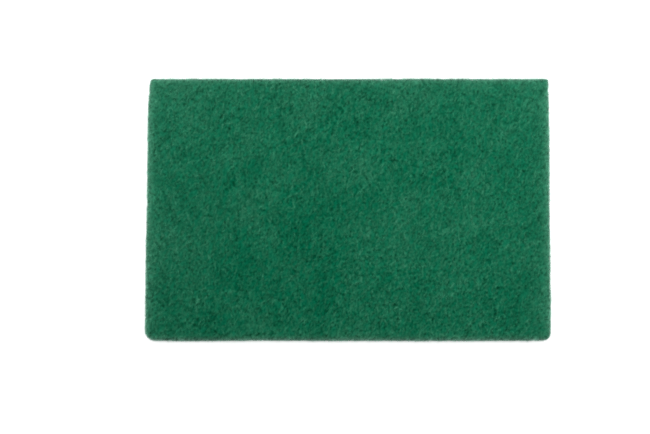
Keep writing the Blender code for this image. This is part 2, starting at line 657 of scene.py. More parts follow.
@dataclass(frozen=True)
class CutRim:
    """Painted light round the web's cut edge, a pale rim that stands in for light coming through its
    thin edge, and how frayed the web is there, with painted glare.
    """

    # The first shares and fades set the painted rim light, which is stronger at the ends than along
    # the sides.
    rim_light_share: float = 0.50
    rim_light_fade: float = 0.0024
    end_rim_lights: tuple[float, float] = (1.0, 0.8)
    side_rim_lights: tuple[float, float] = (0.36, 0.42)
    # The fray's and the veil's sizes set the grey of frayed ends and painted glare, more at the long
    # sides.
    fray_fade: float = 0.0007
    side_fray: float = 0.35
    glare_veil_share: float = 0.032
    glare_veil_fade: float = 0.028
    wall_rim_light: float = 0.5

    def level(self, share: Array) -> Array:
        """How much of the painted rim light the web takes at a share of the full height: less down
        the wall than on top.

        It is a smooth blend over the upper half of the height.
        """
        return self.wall_rim_light + (1 - self.wall_rim_light) * smooth(np.clip(2 * share - 1, 0, 1))

    def paling(self, depth: Array, way: Array) -> Array:
        """The painted rim light near the rim.

        It falls off exponentially with the depth. It is full at the left end, a little weaker at
        the right one, weaker at the back and weakest in front, and blended by the way outwards:
        painted light that differs from side to side.

        Args:
            depth: the distance inwards from the cut line.
            way: the unit way outwards, two numbers each.

        Returns:
            The painted rim light, from 0 to 1.
        """
        endwise = np.abs(way[..., 0])
        ends = np.interp(way[..., 0], (-1, 1), self.end_rim_lights)
        sides = np.interp(way[..., 1], (-1, 1), self.side_rim_lights)
        full = self.rim_light_share * (endwise * ends + (1 - endwise) * sides)
        return full * np.exp(-depth / self.rim_light_fade)

    def fray(self, depth: Array, way: Array) -> Array:
        """How frayed the web is near its rim, with painted glare in the grey added there: an
        exponential of the depth, more at long sides.

        Args:
            depth: the distance inwards from the cut line.
            way: the unit way outwards, two numbers each.

        Returns:
            The fraying and painted glare, 1 at the ends' cut line.
        """
        return (1 + self.side_fray * np.abs(way[..., 1])) * np.exp(-depth / self.fray_fade)

    def veil(self, *depths: Array) -> Array:
        """A faint painted glare: the sum of exponentials of the distances inwards from some sides.
        """
        return self.glare_veil_share * sum(np.exp(-depth / self.glare_veil_fade) for depth in depths)


@dataclass
class PadForm:
    """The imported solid, read as a cut line, a rim section and a map of the upper face's height.

    A place near the rim is given by its station, the way round a guide line, and its depth, the
    distance inwards from the cut line. The guide line lies a fixed reach outside a spine, which is
    a rectangle well inside the pad: so it has straight sides and quarter circles at its corners.
    """

    spine_inset: float = 0.012
    stations: int = 1920
    section_stations: int = 96
    tip_tries: int = 129
    map_pitch: float = 0.002
    shoulder_reach: float = 0.0036
    foot_reach: float = 0.0012
    shoulder_from: float = 0.5
    foot_below: float = 0.25
    section_shares: tuple[float, ...] = (
        0.03, 0.07, 0.12, 0.2, 0.32, 0.45, 0.58, 0.68, 0.76, 0.84, 0.9, 0.94, 0.97, 0.99,
    )
    rim: CutRim = CutRim()
    tree: BVHTree = field(init=False, repr=False)
    top: float = field(init=False)
    half: Array = field(init=False, repr=False)
    reach: Array = field(init=False, repr=False)
    heights: Array = field(init=False, repr=False)
    section: Array = field(init=False, repr=False)

    def __post_init__(self) -> None:
        """Measures the solid."""
        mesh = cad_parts[PAD_NODE].data
        polygons = [tuple(face.vertices) for face in mesh.polygons]
        self.tree = BVHTree.FromPolygons(read_vectors(mesh.vertices, "co").tolist(), polygons)
        low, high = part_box(PAD_NODE)
        self.top = high.z
        self.half = np.array(high - low)[:2] / 2 - self.spine_inset
        self.measure_heights()
        self.measure_cut()
        self.measure_section()

    @property
    def arc(self) -> float:
        """The guide line's length round one corner."""
        return QUARTER_TURN * self.spine_inset

    @property
    def round_length(self) -> float:
        """The guide line's whole length."""
        return float(4 * self.half.sum() + 4 * self.arc)

    @property
    def corner_stations(self) -> Array:
        """The stations at the middles of the corners, from the front left one round to it again."""
        along, across = 2 * self.half
        sides = np.array([0.0, along, across, along, across])
        return np.cumsum(sides) + self.arc * (np.arange(5) - 0.5)

    @property
    def tip_stations(self) -> Array:
        """The stations of the corners' tips, where the cut line reaches furthest out."""
        tries = np.linspace(-0.5, 0.5, self.tip_tries) * self.arc
        station = self.corner_stations[:, None] + tries
        furthest = self.reach_at(station).argmax(axis=1)[:, None]
        return np.take_along_axis(station, furthest, axis=1)[:, 0]

    @property
    def middle_height(self) -> float:
        """The upper face's height in its middle range."""
        return float(np.median(self.heights))

    def hits(self, origins: Array, ways: Array) -> Array:
        """How far each ray goes before it meets the solid, or not-a-number if it misses."""
        found = [self.tree.ray_cast(start, way)[3] for start, way in zip(origins, ways)]
        return np.array([np.nan if far is None else far for far in found])

    def level_hits(self, station: Array, height: Array) -> Array:
        """How far level rays go from the spine outwards before they meet the solid's wall.

        Args:
            station: the way round the guide line.
            height: the height of each ray.

        Returns:
            The lengths of the rays.
        """
        spine, way = self.spine_places(station)
        upright = height[:, None]
        return self.hits(np.hstack([spine, upright]), np.hstack([way, 0 * upright]))

    def spine_places(self, station: Array) -> tuple[Array, Array]:
        """The spine's point and the outward way at each station.

        Both are straight-line functions of the station between the ends of the guide's sides and
        corners: along a side the point moves and the way stays, and at a corner the way turns.

        Args:
            station: the way round the guide line.

        Returns:
            The points and the unit ways, two numbers each.
        """
        along, across = 2 * self.half
        ends = np.cumsum([0, along, self.arc, across, self.arc, along, self.arc, across, self.arc])
        x_ends = self.half[0] * np.array([-1, 1, 1, 1, 1, -1, -1, -1, -1])
        y_ends = self.half[1] * np.array([-1, -1, -1, 1, 1, 1, 1, -1, -1])
        turn_ends = QUARTER_TURN * np.array([-1, -1, 0, 0, 1, 1, 2, 2, 3])
        wrapped = np.mod(station, self.round_length)
        spine = np.stack([np.interp(wrapped, ends, x_ends), np.interp(wrapped, ends, y_ends)], -1)
        turn = np.interp(wrapped, ends, turn_ends)
        return spine, np.stack([np.cos(turn), np.sin(turn)], -1)

    def rim_coordinates(self, flat: Array) -> tuple[Array, Array]:
        """The station and depth of places seen from above.

        The nearest spine point is the place clipped to the spine's box. The station is the guide's
        reach times the angle turned so far, plus the length of spine passed.

        Args:
            flat: places, two numbers each.

        Returns:
            The stations and the depths.
        """
        spine = np.clip(flat, -self.half, self.half)
        away = flat - spine
        turned = np.mod(np.arctan2(away[..., 1], away[..., 0]) + QUARTER_TURN, FULL_TURN)
        along, across = 2 * self.half
        passed = np.choose(
            (turned / QUARTER_TURN).astype(int) % 4,
            [
                spine[..., 0] + self.half[0],
                along + spine[..., 1] + self.half[1],
                along + across + self.half[0] - spine[..., 0],
                2 * along + across + self.half[1] - spine[..., 1],
            ],
        )
        station = self.spine_inset * turned + passed
        depth = self.reach_at(station) - np.linalg.norm(away, axis=-1)
        return station, depth + (self.half - np.abs(spine)).min(axis=-1)

    def reach_at(self, station: Array) -> Array:
        """How far the cut line lies from the spine at each station."""
        places = np.linspace(0, self.round_length, self.stations + 1)
        return np.interp(np.mod(station, self.round_length), places, self.reach)

    def places(self, station: Array, depth: Array | float) -> Array:
        """The places, seen from above, at each station and depth."""
        spine, way = self.spine_places(station)
        return spine + way * (self.reach_at(station) - depth)[..., None]

    def top_at(self, flat: Array) -> Array:
        """The height of the upper face, without its shoulder, read between the map's points.

        Args:
            flat: places seen from above, two numbers each.

        Returns:
            The heights, blended along both sides of the map's cells.
        """
        count = np.array(self.heights.shape) - 1
        span = self.half + self.spine_inset / 2
        scaled = np.clip((flat / span + 1) / 2, 0, 1) * count
        cell = np.minimum(scaled.astype(int), count - 1)
        share = scaled - cell
        i, j = cell[..., 0], cell[..., 1]
        s, t = share[..., 0], share[..., 1]
        near = self.heights[i, j] * (1 - s) + self.heights[i + 1, j] * s
        far = self.heights[i, j + 1] * (1 - s) + self.heights[i + 1, j + 1] * s
        return near * (1 - t) + far * t

    def upper_share(self, depth: Array) -> Array:
        """The share of the full height that the upper face has at a depth, along the shoulder."""
        shoulder = self.section[:, 1] > self.shoulder_from
        return np.interp(depth, self.section[shoulder, 0], self.section[shoulder, 1])

    def lower_share(self, depth: Array) -> Array:
        """The share of the full height that the underside has at a depth, along the foot."""
        foot = self.section[:, 1] < self.foot_below
        return np.interp(depth, self.section[foot, 0][::-1], self.section[foot, 1][::-1])

    def store_rim(self, mesh: bpy.types.Mesh, points: Array, repeat: int = 1) -> None:
        """Stores the painted rim light, and the fraying with its painted glare, at a mesh's points.

        Args:
            mesh: the mesh.
            points: a point for each vertex, or for each few vertices in turn.
            repeat: how many vertices share a point.
        """
        station, depth = self.rim_coordinates(points[..., :2])
        inwards = np.clip(depth, 0, None)
        level = self.rim.level(points[..., 2] / self.middle_height)
        way = self.spine_places(station)[1]
        edge = self.half + self.spine_inset
        # Painted glare, stronger towards both ends and the back edge.
        veil = self.rim.veil(edge[0] - np.abs(points[..., 0]), edge[1] - points[..., 1])
        # The painted rim light, weaker down the wall.
        paling = level * self.rim.paling(inwards, way)
        fray = level * level * (self.rim.fray(inwards, way) + veil)
        store_values(mesh, RIM_LIGHT_NAME, np.repeat(paling.ravel(), repeat))
        store_values(mesh, FRAY_GLARE_NAME, np.repeat(fray.ravel(), repeat))

    def inset_at(self, share: Array) -> Array:
        """How far the wall stands inside the cut line at a share of the height."""
        return np.interp(share, self.section[:, 1], self.section[:, 0])

    def measure_heights(self) -> None:
        """Reads the upper face's height on a grid that stops short of the shoulder."""
        span = self.half + self.spine_inset / 2
        counts = np.ceil(2 * span / self.map_pitch).astype(int) + 1
        x = np.linspace(-span[0], span[0], counts[0])
        y = np.linspace(-span[1], span[1], counts[1])
        above = 2 * self.top
        grid = np.stack(np.meshgrid(x, y, [above], indexing="ij"), -1).reshape(-1, 3)
        down = np.tile([0.0, 0.0, -1.0], (len(grid), 1))
        self.heights = (above - self.hits(grid, down)).reshape(counts)

    def measure_cut(self) -> None:
        """Reads the cut line with level rays that start at the spine, at half the height."""
        station = np.linspace(0, self.round_length, self.stations + 1)
        self.reach = self.level_hits(station, np.full(len(station), self.top / 2))

    def measure_section(self) -> None:
        """Reads the rim's middle section with level rays: rows of an inset and its height's share.

        Each inset is the median, over the stations, of the cut line's reach less the ray's.
        """
        station = np.linspace(0, self.round_length, self.section_stations, endpoint=False)
        spine, way = self.spine_places(station)
        full = self.top_at(spine + way * self.spine_inset / 2)
        rows = [(self.foot_reach, 0.0)]
        for share in self.section_shares:
            far = self.level_hits(station, share * full)
            rows.append((float(np.nanmedian(self.reach_at(station) - far)), share))
        rows.append((self.shoulder_reach, 1.0))
        section = np.array(rows)
        section[:, 0] = np.maximum(section[:, 0], 0.0)
        self.section = section


@dataclass(frozen=True)
class Patch:
    """A grid of cells that fills a closed ring, from its front left corner round anticlockwise."""

    along: int
    across: int

    def stations(self, corners: Array) -> Array:
        """The ring's stations, evenly spaced between its corners.

        Args:
            corners: the stations of the corners, with the first one again at the end.

        Returns:
            The stations from the first corner round.
        """
        counts = (self.along, self.across) * 2
        pairs = zip(corners[:-1], corners[1:], counts)
        return np.concatenate([np.linspace(*pair, endpoint=False) for pair in pairs])

    def sides(self, ring: Array) -> tuple[Array, ...]:
        """The four sides of the ring, with their corners, all running towards +X or +Y.

        Args:
            ring: one row or number for each of its points.

        Returns:
            The front, right, back and left sides.
        """
        closed = np.concatenate([ring, ring[:1]])
        right, back, left = np.cumsum([self.along, self.across, self.along])
        return (
            closed[: right + 1],
            closed[right : back + 1],
            closed[back : left + 1][::-1],
            closed[left:][::-1],
        )

    def points(self, ring: Array) -> Array:
        """Fills a ring: each point is blended from the four sides, less the blend of the corners.

        Args:
            ring: the boundary's points.

        Returns:
            Points as rows by columns by three, the boundary's among them.
        """
        front, right, back, left = self.sides(ring)
        u = np.linspace(0, 1, self.along + 1)[None, :, None]
        v = np.linspace(0, 1, self.across + 1)[:, None, None]
        sides = (1 - v) * front[None] + v * back[None]
        sides = sides + (1 - u) * left[:, None] + u * right[:, None]
        near = (1 - u) * front[0] + u * front[-1]
        far = (1 - u) * back[0] + u * back[-1]
        return sides - (1 - v) * near - v * far

    def numbers(self, ring: Array, first: int) -> Array:
        """The vertex numbers of the grid: the ring's on its boundary, new ones inside.

        Args:
            ring: the boundary's vertex numbers.
            first: the first new vertex number.

        Returns:
            Numbers as rows by columns.
        """
        numbers = np.zeros((self.across + 1, self.along + 1), int)
        inside = numbers[1:-1, 1:-1]
        inside[:] = first + np.arange(inside.size).reshape(inside.shape)
        numbers[0], numbers[:, -1], numbers[-1], numbers[:, 0] = self.sides(ring)
        return numbers


def cells(numbers: Array) -> Array:
    """The four corners of each cell of a grid of vertex numbers, anticlockwise."""
    corners = (numbers[:-1, :-1], numbers[:-1, 1:], numbers[1:, 1:], numbers[1:, :-1])
    return np.stack(corners, -1).reshape(-1, 4)


@dataclass
class WebBody:
    """The web as one closed body, just under the strands of its outer layers.

    A strip of rings follows the rim's section from the underside to the upper face. Each face is a
    patch in the ring at its rim, and the lower one has cells twice as large.
    """

    form: PadForm
    name: str = "web_body"
    cells_along: int = 310
    cells_across: int = 202
    rings: int = 12
    skin: float = 0.00042
    lump_depth: float = 0.00014
    lump_length: float = 0.0016
    pit_depth: float = 0.00035
    pit_length: float = 0.0010
    pit_level: float = 0.25
    layer_squeeze: float = 5.0
    seed: int = 11
    fill: float = 0.9

    def build(self) -> bpy.types.Object:
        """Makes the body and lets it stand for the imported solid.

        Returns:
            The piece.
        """
        points, faces = self.closed_surface()
        mesh = new_mesh(self.name, points, faces)
        self.roughen(mesh)
        piece = new_piece(self.name, mesh, WebFinish("web_depths").material())
        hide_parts(PAD_NODE)
        return piece

    def rim_rings(self, station: Array) -> Array:
        """The strip's rings up the rim, evenly spaced along its section.

        Args:
            station: the stations of every ring.

        Returns:
            Points as rings by stations by three.
        """
        form = self.form
        drawn = form.section * np.array([1.0, form.middle_height])
        passed = np.concatenate([[0], np.cumsum(np.linalg.norm(np.diff(drawn, axis=0), axis=1))])
        stops = np.linspace(0, passed[-1], self.rings + 1)
        inset = np.interp(stops, passed, form.section[:, 0])
        share = np.interp(stops, passed, form.section[:, 1])
        flat = form.places(station[None, :], inset[:, None])
        inner = form.places(station, form.shoulder_reach)
        height = share[:, None] * form.top_at(inner)[None, :]
        return np.concatenate([flat, height[..., None]], axis=2)

    def closed_surface(self) -> tuple[Array, list[Array]]:
        """The whole closed surface before it is roughened.

        Returns:
            The points, and the faces of four and of three corners.
        """
        form = self.form
        corners = form.corner_stations
        upper = Patch(self.cells_along, self.cells_across)
        lower = Patch(self.cells_along // 2, self.cells_across // 2)
        rings = self.rim_rings(upper.stations(corners))
        top = upper.points(rings[-1])
        top[..., 2] = form.top_at(top[..., :2])
        foot = form.places(lower.stations(corners), 2 * form.foot_reach)
        foot = np.hstack([foot, np.zeros((len(foot), 1))])
        under = lower.points(foot)
        grids = (rings, top[1:-1, 1:-1], foot, under[1:-1, 1:-1])
        points = [grid.reshape(-1, 3) for grid in grids]
        firsts = np.cumsum([len(part) for part in points])
        numbers = np.arange(firsts[0]).reshape(rings.shape[:2])
        wrapped = np.concatenate([numbers, numbers[:, :1]], axis=1)
        foot_numbers = np.arange(firsts[1], firsts[2])
        quads = [
            cells(wrapped),
            cells(upper.numbers(numbers[-1], firsts[0])),
            cells(lower.numbers(foot_numbers, firsts[2]))[:, ::-1],
        ]
        outer = wrapped[0]
        inner = np.concatenate([foot_numbers, foot_numbers[:1]])
        even, odd, following = outer[0:-1:2], outer[1::2], outer[2::2]
        triangles = [
            np.stack([even, inner[:-1], odd], -1),
            np.stack([odd, inner[:-1], inner[1:]], -1),
            np.stack([odd, inner[1:], following], -1),
        ]
        return np.concatenate(points), [np.concatenate(quads), np.concatenate(triangles)]

    def roughen(self, mesh: bpy.types.Mesh) -> None:
        """Sinks the surface under the strands' layer and gives it lumps and pits.

        Each point moves along its normal by minus the skin, plus the lumps' noise, minus the pits:
        the part of a finer noise that is above their level. On the wall the noise is squeezed in
        height, so that the web's layers show.

        Args:
            mesh: the closed surface.
        """
        points = read_vectors(mesh.vertices, "co")
        normals = read_vectors(mesh.vertex_normals, "vector")
        upright = 1 - np.abs(normals[:, 2:3])
        place = points * (1 + upright * np.array([[0.0, 0.0, self.layer_squeeze - 1]]))
        lumps = lattice_noise(place, self.lump_length, self.seed)
        deep = lattice_noise(place, self.pit_length, self.seed + 1)
        pits = np.clip(deep - self.pit_level, 0, None)
        moved = -self.skin + self.lump_depth * lumps - self.pit_depth * pits
        points += normals * moved[:, None]
        mesh.vertices.foreach_set("co", points.astype(np.float32).ravel())
        mesh.update()
        self.form.store_rim(mesh, points)


@dataclass
class Strands:
    """A layer of crimped strands, each a closed three-sided tube with its own shade.

    Strands come in locks, whose members share their way and their crimp. The heading along one is
    its own way plus two sines of the length passed, and its path is the sum of short steps.
    """

    form: PadForm
    name: str
    seed: int
    locks: int
    members: int = 2
    lock_width: float = 0.00028
    length: Span = Span(0.0045, 0.0085)
    width: Span = Span(0.00022, 0.00036)
    rings: int = 6
    fine_steps: int = 32
    long_crimp: Span = Span(0.0045, 0.0085)
    long_swing: Span = Span(0.3, 0.9)
    short_crimp: Span = Span(0.003, 0.005)
    short_swing: Span = Span(0.1, 0.4)
    shortest: float = 0.0018
    shade_middle: float = 0.5
    shade_spread: float = 0.13
    # How much lighter the higher strands are: painted shade on the deeper ones.
    painted_depth_shade: float = 0.4
    lift: Span = Span(-0.00042, 0.00002)
    own_turn: float = 0.1
    end_thinning: float = 0.45
    BAND_ALONG: ClassVar[Span] = Span(0.1, 0.9)
    BAND_ACROSS: ClassVar[Span] = Span(0.06, 0.94)
    END_CORNERS: ClassVar[tuple[tuple[float, float], ...]] = ((0.02, 0.1), (0.07, 0.1), (0.02, 0.9))
    END_STEP: ClassVar[float] = 0.91

    def build(self, material: bpy.types.Material) -> bpy.types.Object:
        """Makes the layer as one piece.

        Args:
            material: the finish of its strands.

        Returns:
            The piece.
        """
        rng = np.random.default_rng(self.seed)
        centres, outward, lift = self.trace(rng)
        shade = self.shades(rng, lift)
        width = self.width.draw(rng, len(centres))
        mesh = self.tubes(centres, outward, width)
        store_values(mesh, SHADE_NAME, np.repeat(shade, self.rings * 3))
        self.form.store_rim(mesh, centres, repeat=3)
        self.store_bake_map(mesh, len(centres))
        return new_piece(self.name, mesh, material)

    def trace(self, rng: Random) -> Traced:
        """The strands' centre lines, the ways out of the web along them, and their lifts.

        Each kind of layer has its own, which takes the layer's random source.
        """
        raise NotImplementedError

    def shared_by_lock(self, values: Array) -> Array:
        """Each lock's value, repeated for its members."""
        return np.repeat(values, self.members, axis=0)

    def shades(self, rng: Random, lift: Array) -> Array:
        """A shade for each strand that was kept, lighter for those that lie higher, as painted shade
        on the deeper ones.

        Args:
            rng: the layer's random source.
            lift: how far each strand is lifted out of the web.

        Returns:
            The shades, from 0 to 1.
        """
        higher = (lift - self.lift.low) / (self.lift.high - self.lift.low) - 0.5
        drawn = rng.normal(self.shade_middle, self.shade_spread, len(lift))
        return np.clip(drawn + self.painted_depth_shade * higher, 0, 1)

    def headings(self, rng: Random, way: Array, passed: Array) -> Array:
        """The heading along each strand.

        Args:
            rng: the layer's random source.
            way: each strand's own way, in radians.
            passed: the length passed at each fine step.

        Returns:
            Angles as strands by fine steps.
        """
        turned = np.repeat(way[:, None], passed.shape[1], axis=1)
        crimps = ((self.long_crimp, self.long_swing), (self.short_crimp, self.short_swing))
        for crimp, swing in crimps:
            wave = self.shared_by_lock(crimp.draw(rng, self.locks))
            size = self.shared_by_lock(swing.draw(rng, self.locks))
            start = self.shared_by_lock(rng.uniform(0, FULL_TURN, self.locks))
            turned += size[:, None] * np.sin(FULL_TURN * passed / wave[:, None] + start[:, None])
        return turned

    def paths(self, rng: Random, start: Array, way: Array) -> Array:
        """Flat paths from their starts, all with the same number of fine steps.

        Args:
            rng: the layer's random source.
            start: where each lock starts, two numbers each.
            way: each lock's own way, in radians.

        Returns:
            Places as strands by fine steps by two.
        """
        count = self.locks * self.members
        length = self.length.draw(rng, count)
        share = np.linspace(0, 1, self.fine_steps + 1)
        passed = length[:, None] * share[None, :]
        beside = rng.normal(0, self.lock_width, (count, 2))
        own = rng.normal(0, self.own_turn, count)
        heading = self.headings(rng, self.shared_by_lock(way) + own, passed)
        step = (length / self.fine_steps)[:, None, None]
        moves = step * np.stack([np.cos(heading), np.sin(heading)], -1)
        path = np.cumsum(moves, axis=1) - moves[:, :1]
        return self.shared_by_lock(start)[:, None, :] + beside[:, None, :] + path

    def kept_stretch(
        self, inside: Array, step: Array
    ) -> tuple[Array, Array, Array]:
        """The first stretch of each path that lies inside the web.

        Args:
            inside: whether each fine step is inside, as strands by steps.
            step: each strand's length of one fine step.

        Returns:
            The first and last fine steps of the stretch, and which strands are long enough to keep.
        """
        first = np.argmax(inside, axis=1)
        numbers = np.arange(inside.shape[1])[None, :]
        left = ~inside & (numbers > first[:, None])
        last = np.where(left.any(axis=1), np.argmax(left, axis=1), inside.shape[1]) - 1
        kept = inside.any(axis=1) & ((last - first) * step > self.shortest)
        return first, last, kept

    def stops(self, first: Array, last: Array) -> Array:
        """Where each path's rings stand, spaced evenly from its first to its last fine step."""
        return first[:, None] + np.linspace(0, 1, self.rings)[None, :] * (last - first)[:, None]

    def resampled(self, fine: Array, stops: Array) -> Array:
        """Reads each path at its rings' stops, between the two fine steps next to each.

        Args:
            fine: the paths, as strands by fine steps by two.
            stops: where the rings stand, in fine steps.

        Returns:
            Places as strands by rings by two.
        """
        low = np.minimum(stops.astype(int), fine.shape[1] - 2)
        part = (stops - low)[..., None]
        rows = np.arange(len(fine))[:, None]
        return fine[rows, low] * (1 - part) + fine[rows, low + 1] * part

    def tubes(self, centres: Array, outward: Array, width: Array) -> bpy.types.Mesh:
        """Carries a three-cornered section along the centre lines, with one corner outwards.

        A ring's corners are its centre plus half the width times cos a along the side way and sin a
        along the way out, for a of 90, 210 and 330 degrees. The width falls off towards both ends
        with the sixth power of the share of the way from the middle.

        Args:
            centres: points as strands by rings by three.
            outward: unit ways out of the web, in the same shape.
            width: each strand's width.

        Returns:
            The mesh of all strands.
        """
        tangent = unit(np.gradient(centres, axis=1))
        side = unit(np.cross(tangent, outward))
        up = np.cross(side, tangent)
        share = np.linspace(-1, 1, self.rings)
        radius = 0.5 * width[:, None] * (1 - self.end_thinning * share[None, :] ** 6)
        angle = np.radians([90.0, 210.0, 330.0])
        around = np.cos(angle)[:, None] * side[:, :, None] + np.sin(angle)[:, None] * up[:, :, None]
        points = centres[:, :, None] + radius[..., None, None] * around
        count = len(centres)
        numbers = np.arange(count * self.rings * 3).reshape(count, self.rings, 3)
        turned = np.roll(numbers, -1, axis=2)
        walls = np.stack([numbers[:, :-1], numbers[:, 1:], turned[:, 1:], turned[:, :-1]], -1)
        ends = np.concatenate([numbers[:, 0], numbers[:, -1, ::-1]])
        return new_mesh(self.name, points.reshape(-1, 3), [walls.reshape(-1, 4), ends])

    def store_bake_map(self, mesh: bpy.types.Mesh, count: int) -> None:
        """Gives each strand its own square of a map, with a band for each of its three walls.

        Along a band one coordinate is the share of the length, and across it the other goes from
        one corner to the next. The two end faces have a small corner of the square each.

        Args:
            mesh: the mesh of all strands.
            count: how many strands it has.
        """
        squares = math.ceil(math.sqrt(count))
        square = np.stack([np.arange(count) % squares, np.arange(count) // squares], -1)
        along = np.linspace(self.BAND_ALONG.low, self.BAND_ALONG.high, self.rings)
        across = np.linspace(self.BAND_ACROSS.low, self.BAND_ACROSS.high, 4)
        ring, wall = np.meshgrid(np.arange(self.rings - 1), np.arange(3), indexing="ij")
        u = np.stack([along[ring], along[ring + 1], along[ring + 1], along[ring]], -1)
        v = np.stack([across[wall], across[wall], across[wall + 1], across[wall + 1]], -1)
        walls = np.stack([u, v], -1)[None] + square[:, None, None, None, :]
        starts = np.array(self.END_CORNERS) + square[:, None, :]
        ends = starts + np.array([self.END_STEP, 0.0])
        places = np.concatenate([walls.reshape(-1, 2), starts.reshape(-1, 2), ends.reshape(-1, 2)])
        layer = mesh.uv_layers.new(name=BAKE_MAP)
        layer.uv.foreach_set("vector", (places / squares).astype(np.float32).ravel())


@dataclass
class FaceStrands(Strands):
    """Strands that lie in the upper or the lower face and weave in and out of it."""

    face: Face = Face.UPPER
    mean_way: float = MEAN_WAY
    way_spread: float = math.radians(18.0)
    weave: Span = Span(0.00005, 0.0002)
    weave_length: Span = Span(0.004, 0.009)
    dive: float = 0.00035
    margin: float = 0.0002

    def trace(self, rng: Random) -> Traced:
        """The centre lines over the face: its height plus a lift and a sine, with ends that dive.

        An end that the rim doesn't cut off dives with the fourth power of the share of the length.

        Args:
            rng: the layer's random source.

        Returns:
            The centre lines, the ways out of the web along them, and their lifts.
        """
        form = self.form
        reach = form.half + form.spine_inset + self.length.high / 2
        start = (2 * spread_places(rng, self.locks) - 1) * reach
        way = rng.normal(self.mean_way, self.way_spread, self.locks)
        start -= 0.5 * self.length.high * np.stack([np.cos(way), np.sin(way)], -1)
        fine = self.paths(rng, start, way)
        lift = self.shared_by_lock(self.lift.draw(rng, self.locks))
        wave = self.weave_length.draw(rng, len(fine))
        swing = self.weave.draw(rng, len(fine))
        lag = rng.uniform(0, FULL_TURN, len(fine))
        step = np.linalg.norm(fine[:, 1] - fine[:, 0], axis=1)
        depth = form.rim_coordinates(fine)[1]
        first, last, kept = self.kept_stretch(depth > self.margin, step)
        flat = self.resampled(fine, self.stops(first, last))[kept]
        lift, wave, swing, lag, step = (part[kept] for part in (lift, wave, swing, lag, step))
        natural = np.stack([first[kept] == 0, last[kept] == self.fine_steps], -1)
        share = np.linspace(0, 1, self.rings)[None, :]
        passed = share * ((last - first)[kept] * step)[:, None]
        weave = np.sin(FULL_TURN * passed / wave[:, None] + lag[:, None])
        raised = lift[:, None] + swing[:, None] * weave
        ends = natural[:, :1] * (1 - share) ** 4 + natural[:, 1:] * share**4
        return *self.laid(flat, raised - self.dive * ends), lift

    def laid(self, flat: Array, raised: Array) -> tuple[Array, Array]:
        """Lays flat paths on the face.

        Args:
            flat: places as strands by rings by two.
            raised: how far each point stands out of the face.

        Returns:
            Points and ways out, as strands by rings by three.
        """
        form = self.form
        depth = form.rim_coordinates(flat)[1]
        full = form.top_at(flat)
        if self.face is Face.UPPER:
            height = full * form.upper_share(depth) + raised
            up = 1.0
        else:
            height = np.maximum(full * form.lower_share(depth) - raised, self.width.high / 2)
            up = -1.0
        outward = np.zeros((*flat.shape[:2], 3))
        outward[..., 2] = up
        return np.concatenate([flat, height[..., None]], -1), outward


@dataclass
class EdgeStrands(Strands):
    """Strands that lie along the cut edge, in the web's own layers."""

    way_spread: float = math.radians(16.0)
    rise: Span = Span(0.06, 0.94)
    lift: Span = Span(-0.00045, 0.00018)

    def trace(self, rng: Random) -> Traced:
        """The centre lines on the wall, whose flat coordinates are the station and the height.

        Args:
            rng: the layer's random source.

        Returns:
            The centre lines, the ways out of the web along them, and their lifts.
        """
        form = self.form
        height = form.middle_height
        start = spread_places(rng, self.locks) * np.array([form.round_length, height])
        way = rng.normal(0, self.way_spread, self.locks) + math.pi * rng.integers(0, 2, self.locks)
        fine = self.paths(rng, start, way)
        lift = self.shared_by_lock(self.lift.draw(rng, self.locks))
        share = fine[..., 1] / height
        step = np.linalg.norm(fine[:, 1] - fine[:, 0], axis=1)
        inside = (share > self.rise.low) & (share < self.rise.high)
        first, last, kept = self.kept_stretch(inside, step)
        stops = self.turned_at_corners(fine[..., 0], self.stops(first, last))
        drawn = self.resampled(fine, stops)[kept]
        station, share = drawn[..., 0], drawn[..., 1] / height
        flat = form.places(station, form.inset_at(share) - lift[kept][:, None])
        centres = np.concatenate([flat, (share * form.top_at(flat))[..., None]], -1)
        outward = np.concatenate([form.spine_places(station)[1], 0 * share[..., None]], -1)
        return centres, outward, lift[kept]

    def turned_at_corners(self, station: Array, stops: Array) -> Array:
        """Moves the nearest ring of each strand that passes a corner to the corner itself.

        Without this the strand would cut straight across the corner, inside the web.

        Args:
            station: each strand's stations at its fine steps.
            stops: where its rings stand, in fine steps.

        Returns:
            The stops, with those moved.
        """
        tips = self.form.tip_stations
        tip = tips[np.abs(station.mean(axis=1)[:, None] - tips).argmin(axis=1)][:, None]
        nearest = np.abs(station - tip).argmin(axis=1)[:, None]
        left = tip - np.take_along_axis(station, nearest, axis=1)
        met = nearest + left / np.take_along_axis(np.gradient(station, axis=1), nearest, axis=1)
        far = np.abs(stops - met)
        passes = (met > stops[:, :1]) & (met < stops[:, -1:])
        return np.where(passes & (far == far.min(axis=1, keepdims=True)), met, stops)


